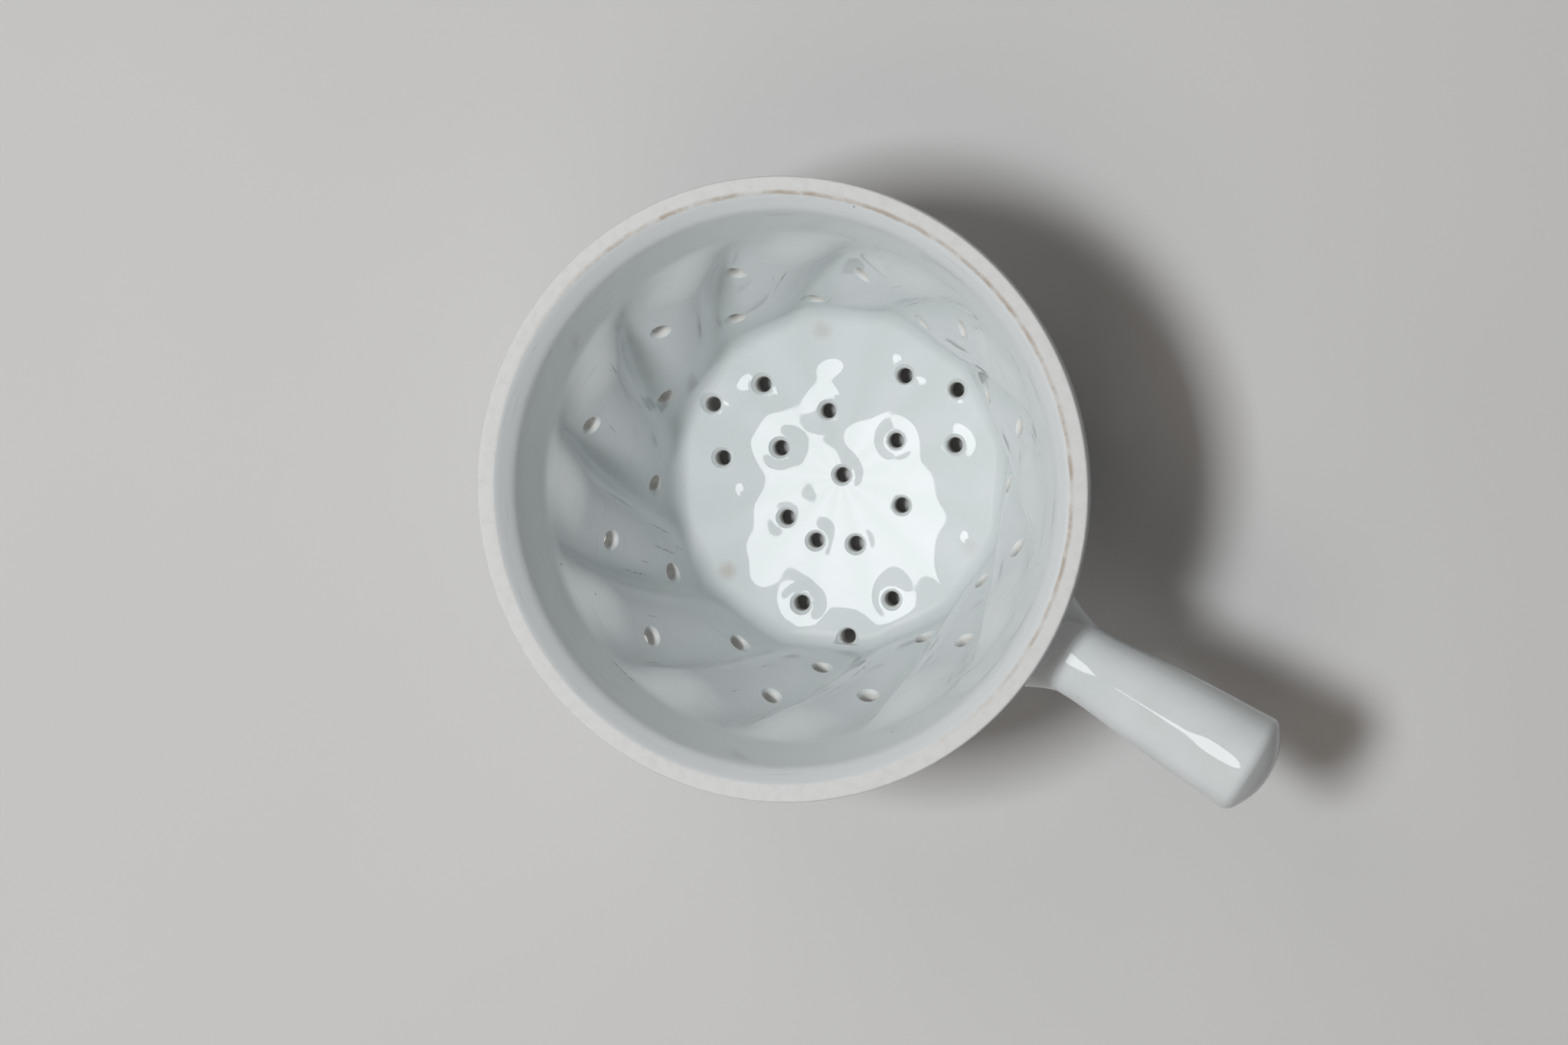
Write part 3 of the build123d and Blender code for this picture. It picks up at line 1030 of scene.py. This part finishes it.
class Bench:
    """The node tree of a material or a world, with one method that adds any node."""

    def __init__(self, owner: bpy.types.Material | bpy.types.World) -> None:
        """Start with an empty tree.

        Args:
            owner: The material or world that the tree belongs to.
        """
        self.owner = owner
        owner.use_nodes = True
        self.tree = owner.node_tree
        self.tree.nodes.clear()

    def node(self, kind: str, settings: dict[str, Any] | None = None,
             sockets: dict[Any, Any] | None = None, out: Any = 0) -> Wire:
        """Add a node.

        Args:
            kind: The node's type.
            settings: Its settings, set first.
            sockets: Values or links of its sockets, by name or number.
            out: The output that the result stands for, by name or number.

        Returns:
            The chosen output.
        """
        node = self.tree.nodes.new(kind)
        for key, value in (settings or {}).items():
            setattr(node, key, value)
        for key, value in (sockets or {}).items():
            if isinstance(value, Wire):
                self.tree.links.new(value.socket, node.inputs[key])
            else:
                node.inputs[key].default_value = value
        return Wire(self, node.outputs[out] if len(node.outputs) else node.inputs[0])

    def maths(self, operation: str, first: Value, second: Value) -> Wire:
        """Add a Math node for an operation on two values."""
        return self.node("ShaderNodeMath", {"operation": operation}, {0: first, 1: second})

    def stored(self, name: str) -> Wire:
        """Give an attribute of the piece."""
        return self.node("ShaderNodeAttribute", {"attribute_name": name}, out="Fac")

    def place(self) -> Wire:
        """Give the Object coordinates in millimetres."""
        metres = self.node("ShaderNodeTexCoord", out="Object")
        return self.node("ShaderNodeVectorMath", {"operation": "SCALE"}, {0: metres, "Scale": 1 / MM})

    def parts(self, vector: Wire) -> tuple[Wire, Wire, Wire]:
        """Split a vector into its three values."""
        x = self.node("ShaderNodeSeparateXYZ", None, {0: vector}, "X")
        return x, x.sibling("Y"), x.sibling("Z")

    def vector(self, x: Value, y: Value) -> Wire:
        """Combine two values into a flat vector."""
        return self.node("ShaderNodeCombineXYZ", None, {0: x, 1: y, 2: 0.0})

    def smooth(self, value: Value, low: float, high: float) -> Wire:
        """Give a smooth step from 0 at low to 1 at high."""
        kind = {"interpolation_type": "SMOOTHSTEP"}
        return self.node("ShaderNodeMapRange", kind, {0: value, 1: low, 2: high})

    def grain(self, vector: Wire, size: float, detail: float = 2.0, rough: float = 0.5) -> Wire:
        """Give noise, around 0.5, whose lumps have about a size in millimetres."""
        return self.node("ShaderNodeTexNoise", None,
                         {"Vector": vector, "Scale": 1.0 / size, "Detail": detail, "Roughness": rough})

    def stretched(self, vector: Wire, sizes: Sequence[float], turn: float = 0.0) -> Wire:
        """Stretch a pattern to sizes in millimetres along its axes, turned about Z by degrees."""
        scale = tuple(1.0 / size for size in sizes)
        return self.node("ShaderNodeMapping", None,
                         {"Vector": vector, "Rotation": (0.0, 0.0, radians(turn)), "Scale": scale})

    def marks(self, vector: Wire, sizes: Sequence[float], share: float, reach: float,
              turn: float = 0.0) -> Wire:
        """Scatter marks over a surface, one in each of some cells.

        Args:
            vector: Coordinates in millimetres.
            sizes: Sizes of the cells along the axes.
            share: Share of the cells that hold a mark.
            reach: Half the size of a mark in its cell.
            turn: Turn of the cells about Z, in degrees.

        Returns:
            1 on the marks and 0 off them.
        """
        core, margin = 0.35, 0.02
        away = self.node("ShaderNodeTexVoronoi", None,
                         {"Vector": self.stretched(vector, sizes, turn), "Scale": 1.0}, "Distance")
        lot, _, _ = self.parts(away.sibling("Color"))
        return self.smooth(away, reach, reach * core) * self.smooth(lot, 1 - share, 1 - share + margin)

    def mix(self, first: Any, second: Any, share: Value) -> Wire:
        """Mix two colours."""
        return self.node("ShaderNodeMix", {"data_type": "RGBA"}, {0: share, 6: first, 7: second}, out=2)

    def bump(self, height: Value, distance: float, strength: float, under: Wire | None = None) -> Wire:
        """Give a bumped normal.

        Args:
            height: Height from 0 to 1.
            distance: The real height of 1, in millimetres.
            strength: Strength of the bump.
            under: A normal that is bumped further.

        Returns:
            The normal.
        """
        sockets = {"Height": height, "Distance": distance * MM, "Strength": strength}
        if under is not None:
            sockets["Normal"] = under
        return self.node("ShaderNodeBump", None, sockets)

    def finish(self, sockets: dict[str, Any]) -> bpy.types.Material:
        """End a material's tree in one Principled BSDF.

        Args:
            sockets: Values and links of the shader's sockets.

        Returns:
            The finished material.
        """
        shader = self.node("ShaderNodeBsdfPrincipled", None, sockets)
        self.node("ShaderNodeOutputMaterial", None, {"Surface": shader})
        return self.owner


def tone(red: float, green: float, blue: float) -> Colour:
    """Give a linear colour from the 0 to 255 values that a screen shows.

    Args:
        red: Red value.
        green: Green value.
        blue: Blue value.

    Returns:
        The colour, with an alpha of 1.
    """
    linear = []
    for part in (red / 255.0, green / 255.0, blue / 255.0):
        linear.append(part / 12.92 if part <= 0.04045 else ((part + 0.055) / 1.055) ** 2.4)
    return (linear[0], linear[1], linear[2], 1.0)


@dataclass(frozen=True)
class PorcelainGlaze:
    """Pale glossy glaze over white porcelain, with a bare rim top, grey scuffs, specks and stains.

    Sizes are in millimetres. A pair is where a smooth step starts and ends, and a cover is the share of the
    colour under it that a mark hides.
    """

    form: RibbedForm
    glaze: Colour = tone(218, 223, 226)
    pooled: Colour = tone(206, 213, 214)
    bare: Colour = tone(220, 222, 223)
    chalk: Colour = tone(214, 214, 214)
    stain: Colour = tone(150, 126, 98)
    scuff: Colour = tone(112, 114, 115)
    soot: Colour = tone(96, 86, 78)
    clay: Colour = tone(213, 212, 207)
    gloss: float = 0.022
    scuff_rough: float = 0.25
    throat_rough: float = 0.2
    bare_rough: float = 0.6
    density: float = 1.5
    pool_rise: Point2 = (0.42, 0.0)
    pool_heights: Point2 = (82.0, 62.0)
    pool_cover: float = 0.8
    worn_radii: Point2 = (86.0, 80.0)
    worn_heights: Point2 = (14.0, 20.0)
    lane_width: float = 1.05
    lane_shift: float = 31.0
    degree_width: float = 1.29
    band_blend: float = 4.0
    scuff_cover: float = 0.75
    streak_cover: float = 0.16
    speck_cover: float = 0.8
    throat_cover: float = 0.7
    bare_edge: float = 80.1
    bare_heights: Point2 = (87.6, 88.6)
    line_cover: float = 0.65
    line_side: float = 80.0
    line_sides: Point2 = (-0.45, 0.5)
    dent_cover: float = 0.34
    dent_circle: float = 43.6
    dent_drift: float = 3.0

    def bowl(self) -> bpy.types.Material:
        """Make the bowl's finish.

        Returns:
            The material, which reads the bowl's rib_rise, inside and throat attributes.
        """
        bench = Bench(bpy.data.materials.new("porcelain_glaze"))
        place = bench.place()
        x, y, z = bench.parts(place)
        radius = (x * x + y * y) ** 0.5
        throat = bench.stored("throat")
        cloud = bench.grain(place, size=22.0, detail=3.0, rough=0.55)
        pooling = bench.smooth(bench.stored("rib_rise") + (cloud - 0.5) * 0.5, *self.pool_rise)
        pooling = pooling * bench.smooth(z, *self.pool_heights)
        colour = bench.mix(self.glaze, self.pooled, pooling * self.pool_cover)

        worn = bench.stored("inside") * bench.smooth(radius, *self.worn_radii)
        worn = worn * bench.smooth(z, *self.worn_heights)
        degrees = bench.maths("ARCTAN2", y, x) * (180 / pi)
        around = bench.vector(degrees * self.degree_width, z)
        scuffs = self.scuffs(bench, place, degrees, around, z) * worn
        colour = bench.mix(colour, self.scuff, scuffs * self.scuff_cover)
        streaks = bench.grain(bench.stretched(around, (16.0, 0.55, 1.0)), size=1.0)
        colour = bench.mix(colour, self.scuff, bench.smooth(streaks, 0.58, 0.8) * worn * self.streak_cover)
        specks = bench.marks(place, (15.0, 15.0, 15.0), share=0.5, reach=0.026)
        colour = bench.mix(colour, self.soot, specks * self.speck_cover)
        colour = bench.mix(colour, self.stain, self.dent_stains(bench, place) * self.dent_cover)

        edge = radius + (bench.grain(place, size=6.0, detail=3.0) - 0.5) * 0.8
        top = bench.smooth(z, *self.bare_heights)
        bare = bench.smooth(edge, self.bare_edge - 0.2, self.bare_edge + 0.3) * top
        powder = bench.smooth(bench.grain(place, size=3.0, detail=4.0, rough=0.6), 0.4, 0.75)
        colour = bench.mix(colour, bench.mix(self.bare, self.chalk, powder), bare)
        side = radians(self.line_side)
        line = self.rim_line(bench, place, (x * cos(side) + y * sin(side)) / radius, edge)
        colour = bench.mix(colour, self.stain, line * top * self.line_cover)
        colour = bench.mix(colour, self.clay, throat * self.throat_cover)

        rough = self.gloss + scuffs * self.scuff_rough + bare * (self.bare_rough - self.gloss)
        rough = rough + throat * self.throat_rough
        pitted = bench.bump(bench.grain(place, size=0.5, detail=3.0) * bare, distance=0.02, strength=0.6)
        return bench.finish({"Base Color": colour, "Roughness": rough, "IOR": self.density,
                             "Normal": self.ripple(bench, place, pitted)})

    def ripple(self, bench: Bench, place: Wire, under: Wire | None = None) -> Wire:
        """Give the normal of the slight ripple in the glaze, over another normal if there is one."""
        return bench.bump(bench.grain(place, size=7.0, detail=1.0), distance=0.012, strength=0.5, under=under)

    def scuffs(self, bench: Bench, place: Wire, degrees: Wire, around: Wire, z: Wire) -> Wire:
        """Draw the grey marks that cutlery left on the ribs and on the band.

        Args:
            bench: The material's bench.
            place: Object coordinates in millimetres.
            degrees: Angle round the bowl's axis.
            around: Coordinates around and along the bowl.
            z: Height.

        Returns:
            1 on the marks and 0 off them.
        """
        band_z = self.form.rim_z - self.form.band_depth
        twist = self.form.rib_twist / (self.form.inside_depth - self.form.band_depth)
        lane = degrees - bench.maths("MAXIMUM", band_z - z, 0.0) * twist
        along_ribs = bench.vector(lane * self.lane_width + self.lane_shift, z)
        long_marks = bench.marks(along_ribs, (1.5, 24.0, 1.0), share=0.11, reach=0.3)
        short_marks = bench.marks(along_ribs, (1.2, 11.0, 1.0), share=0.06, reach=0.34, turn=-4.0)
        ring_marks = bench.marks(around, (26.0, 1.4, 1.0), share=0.11, reach=0.3)
        on_band = bench.smooth(z, band_z - self.band_blend, band_z)
        patches = bench.smooth(bench.grain(place, size=42.0, detail=1.0), 0.38, 0.58)
        broken = bench.smooth(bench.grain(place, size=0.9, detail=3.0, rough=0.6), 0.34, 0.6)
        return ((long_marks + short_marks) * (1 - on_band) + ring_marks * on_band) * patches * broken

    def dent_stains(self, bench: Bench, place: Wire) -> Wire:
        """Draw the faint tan stains beside the dents in the floor, each stronger than the one before.

        Args:
            bench: The material's bench.
            place: Object coordinates in millimetres.

        Returns:
            Their strength.
        """
        stains: Value = 0.0
        cloud = bench.grain(place, size=4.0, detail=3.0, rough=0.6)
        for i in range(self.form.feet):
            a = radians(self.form.foot_turn(i) + self.dent_drift * (i - 1))
            spot = (self.dent_circle * cos(a), self.dent_circle * sin(a), self.form.floor_z)
            away = bench.node("ShaderNodeVectorMath", {"operation": "DISTANCE"}, {0: place, 1: spot}, "Value")
            stains = bench.smooth(away + cloud * 3.0, 5.5, 2.0) * (0.35 + 0.3 * i) + stains
        return stains

    def rim_line(self, bench: Bench, place: Wire, facing: Wire, edge: Wire) -> Wire:
        """Draw the thin tan line where the glaze ends below the bare top of the rim.

        Args:
            bench: The material's bench.
            place: Object coordinates in millimetres.
            facing: 1 on the side where the line is strongest and -1 on the other.
            edge: Distance from the bowl's axis, made uneven like the end of the glaze.

        Returns:
            The line's strength.
        """
        thin = bench.smooth(edge, self.bare_edge - 0.4, self.bare_edge + 0.25)
        thin = thin * bench.smooth(edge, self.bare_edge + 1.5, self.bare_edge + 0.45)
        patchy = bench.smooth(bench.grain(place, size=9.0, detail=4.0, rough=0.65), 0.36, 0.62)
        return thin * bench.smooth(facing, *self.line_sides) * (0.25 + 0.75 * patchy)

    def handle(self) -> bpy.types.Material:
        """Make the finish of the handle and its collar.

        Returns:
            The material.
        """
        bench = Bench(bpy.data.materials.new("handle_glaze"))
        place = bench.place()
        cloud = bench.smooth(bench.grain(place, size=14.0, detail=3.0, rough=0.55), 0.35, 0.75)
        specks = bench.marks(place, (14.0, 14.0, 14.0), share=0.4, reach=0.022)
        colour = bench.mix(self.glaze, self.pooled, cloud * 0.5)
        colour = bench.mix(colour, self.soot, specks * self.speck_cover)
        return bench.finish({"Base Color": colour, "Roughness": self.gloss, "IOR": self.density,
                             "Normal": self.ripple(bench, place)})


@dataclass(frozen=True)
class FiredClay:
    """Bare matt porcelain of the foot pads, scuffed underneath."""

    clay: Colour = tone(214, 212, 205)
    worn: Colour = tone(176, 172, 163)
    rough: float = 0.6
    worn_heights: Point2 = (1.1, 0.3)
    worn_cover: float = 0.7

    def pad(self) -> bpy.types.Material:
        """Make the finish of the foot pads.

        Returns:
            The material.
        """
        bench = Bench(bpy.data.materials.new("fired_clay"))
        place = bench.place()
        _, _, z = bench.parts(place)
        grain = bench.grain(place, size=0.5, detail=4.0, rough=0.6)
        wear = bench.smooth(z + grain * 1.2, *self.worn_heights)
        colour = bench.mix(self.clay, self.worn, wear * self.worn_cover + grain * 0.2)
        return bench.finish({"Base Color": colour, "Roughness": self.rough + grain * 0.2,
                             "Normal": bench.bump(grain, distance=0.05, strength=0.6)})


@dataclass(frozen=True)
class Window:
    """A soft rectangular light, in metres, watts and degrees.

    Its direction from the bowl is given as the camera sees it: right, up and towards the camera.
    """

    name: str
    seen: Point3
    power: float
    distance: float = 2.2
    size: Point2 = (1.2, 1.2)
    roll: float = 0.0
    colour: Point3 = (1.0, 0.91, 0.82)
    mirrored: bool = True


def daylight(name: str, power: float, mirrored: bool) -> Window:
    """Give the light of the one bright window, which gloss mirrors weaker than it lights."""
    return Window(name, (-0.464, -0.059, 0.884), power, 1.8, (0.344, 0.424), 9.3, (0.98, 1.0, 1.0), mirrored)


@dataclass(frozen=True)
class Viewpoint:
    """The camera and the lights, placed from the photograph's view, in millimetres and degrees."""

    form: RibbedForm
    focal: float = 4340.0
    image_width: float = 2048.0
    sensor: float = 36.0
    clip: Point2 = (0.01, 20.0)
    yaw: float = -13.29
    pitch: float = 3.31
    handle_turn: float = -31.2
    rim_centre: Point3 = (-2.17, -8.52, 899.5)
    windows: tuple[Window, ...] = (
        daylight("window", 2.8, mirrored=True),
        daylight("window_light", 16.2, mirrored=False),
        Window("soft_front", (-0.3, -0.55, 0.78), 6.2, mirrored=False),
        Window("soft_back", (-0.5, 0.5, 0.7), 4.4),
        Window("low_side", (-0.95, 0.0, 0.3), 2.7),
        Window("overhead", (0.0, 0.0, 1.0), 0.8))

    def frame(self) -> Matrix:
        """Give the turn from the camera's axes, right, down and forward, to the bowl's.

        Returns:
            The turn as a matrix of three rows.
        """
        yaw, pitch, turn = radians(self.yaw), radians(self.pitch), radians(self.handle_turn)
        up = Vector((sin(yaw) * cos(pitch), sin(pitch), -cos(yaw) * cos(pitch)))
        across = up.cross(Vector((0, 1, 0))).normalized()
        over = up.cross(across)
        along = cos(turn) * across + sin(turn) * over
        beside = -sin(turn) * across + cos(turn) * over
        return Matrix((along, beside, up))

    def set_camera(self) -> None:
        """Add the camera and make it the scene's own."""
        frame = self.frame()
        spot = (frame @ -Vector(self.rim_centre) + Vector((0, 0, self.form.rim_z))) * MM
        data = bpy.data.cameras.new("camera")
        data.sensor_width = self.sensor
        data.lens = self.focal / self.image_width * self.sensor
        data.clip_start, data.clip_end = self.clip
        camera = bpy.data.objects.new("camera", data)
        right, down, forward = frame.col
        turn = Matrix((right, -down, -forward)).transposed()
        camera.matrix_world = Matrix.Translation(spot) @ turn.to_4x4()
        bpy.context.collection.objects.link(camera)
        bpy.context.scene.camera = camera

    def hang_lights(self) -> None:
        """Add the lights, each turned to the bowl's floor."""
        frame = self.frame()
        lift = frame @ Vector((0, -1, 0))
        for window in self.windows:
            right, up, near = window.seen
            way = (frame @ Vector((right, -up, -near))).normalized()
            data = bpy.data.lights.new(window.name, "AREA")
            data.shape, data.energy, data.color = "RECTANGLE", window.power, window.colour
            data.size, data.size_y = window.size
            light = bpy.data.objects.new(window.name, data)
            light.visible_glossy = window.mirrored
            spot = way * window.distance + Vector((0, 0, self.form.floor_z * MM))
            side = lift.cross(way).normalized()
            turn = Matrix((side, way.cross(side), way)).transposed()
            turn = turn @ Matrix.Rotation(radians(window.roll), 3, "Z")
            light.matrix_world = Matrix.Translation(spot) @ turn.to_4x4()
            bpy.context.collection.objects.link(light)


@dataclass(frozen=True)
class Stage:
    """The pale floor, in metres, and the soft light of the room."""

    size: float = 6.0
    floor: Colour = tone(215, 215, 216)
    cloud: Colour = tone(211, 211, 212)
    rough: float = 0.7
    room: Colour = (1.0, 0.93, 0.86, 1.0)
    room_level: float = 0.03

    def lay_floor(self) -> None:
        """Add the floor."""
        bpy.ops.object.select_all(action="DESELECT")
        bpy.ops.mesh.primitive_plane_add(size=self.size)
        floor = bpy.context.object
        floor.name = "pale_floor"
        bench = Bench(bpy.data.materials.new("pale_floor"))
        colour = bench.mix(self.floor, self.cloud, bench.grain(bench.place(), size=160.0))
        floor.data.materials.append(bench.finish({"Base Color": colour, "Roughness": self.rough,
                                                  "Specular IOR Level": 0.0}))

    def fill_room(self) -> None:
        """Light the room evenly, with a pale background where camera, gloss or glass looks past the floor."""
        world = bpy.data.worlds.new("room")
        bench = Bench(world)
        seen = camera = bench.node("ShaderNodeLightPath", out="Is Camera Ray")
        for kind in ("Is Glossy Ray", "Is Transmission Ray"):
            seen = bench.maths("MAXIMUM", seen, camera.sibling(kind))
        soft, pale = (bench.node("ShaderNodeBackground", None, {"Color": colour, "Strength": strength})
                      for colour, strength in ((self.room, self.room_level), (self.floor, 1.0)))
        both = bench.node("ShaderNodeMixShader", None, {0: seen, 1: soft, 2: pale})
        bench.node("ShaderNodeOutputWorld", None, {"Surface": both})
        bpy.context.scene.world = world
        bpy.context.scene.view_settings.view_transform = "Standard"


def main() -> None:
    """Load the frame, build the colander and its stage, and log each piece's face count."""
    logging.basicConfig(level=logging.INFO, format="%(name)s: %(message)s")
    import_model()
    form = RibbedForm()
    glaze = PorcelainGlaze(form)
    view = Viewpoint(form)
    view.set_camera()

    bowl = Bowl(form, DrainPlan(form))
    bowl.build()
    bowl.dress(glaze.bowl())

    handle = Handle(form)
    handle.build()
    handle.dress(glaze.handle())

    feet = Feet(form)
    feet.build()
    feet.dress(FiredClay().pad())

    stage = Stage()
    stage.lay_floor()
    stage.fill_room()
    view.hang_lights()


if __name__ == "__main__":
    main()
